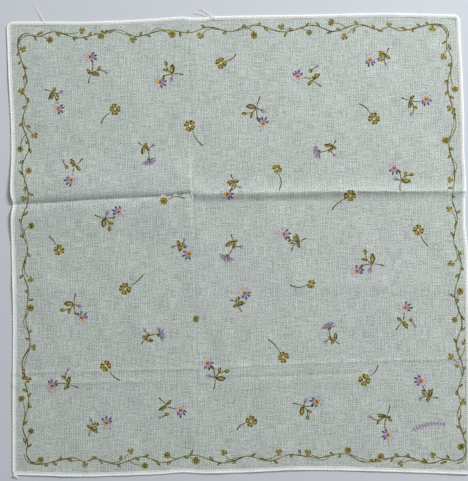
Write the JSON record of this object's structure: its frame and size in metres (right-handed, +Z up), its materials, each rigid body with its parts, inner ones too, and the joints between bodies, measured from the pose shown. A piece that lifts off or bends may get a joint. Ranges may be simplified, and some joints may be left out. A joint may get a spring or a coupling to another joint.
{
  "type": "handkerchief",
  "caption": "Square handkerchief of fine printed cotton lawn with a rolled hem, laid open and flat, with a sharp middle crease and finer creases from its folding.",
  "frame": {"origin": "on the surface that the cloth lies on, under the middle of its bounding box", "axes": "+Z up out of the cloth's printed face; +X to the right and +Y away, along the cloth's edges to within about a degree, with the sharp middle crease running along X on the +Y side of the middle"},
  "size_m": [0.3064, 0.306, 0.0033],
  "materials": {
    "cotton_lawn": "fine matt plain weave, off-white, with a small print of lilac daisies, clovers and a leafy border"
  },
  "bodies": {
    "root": {"cloth": "cotton_lawn"}
  },
  "joints": []
}
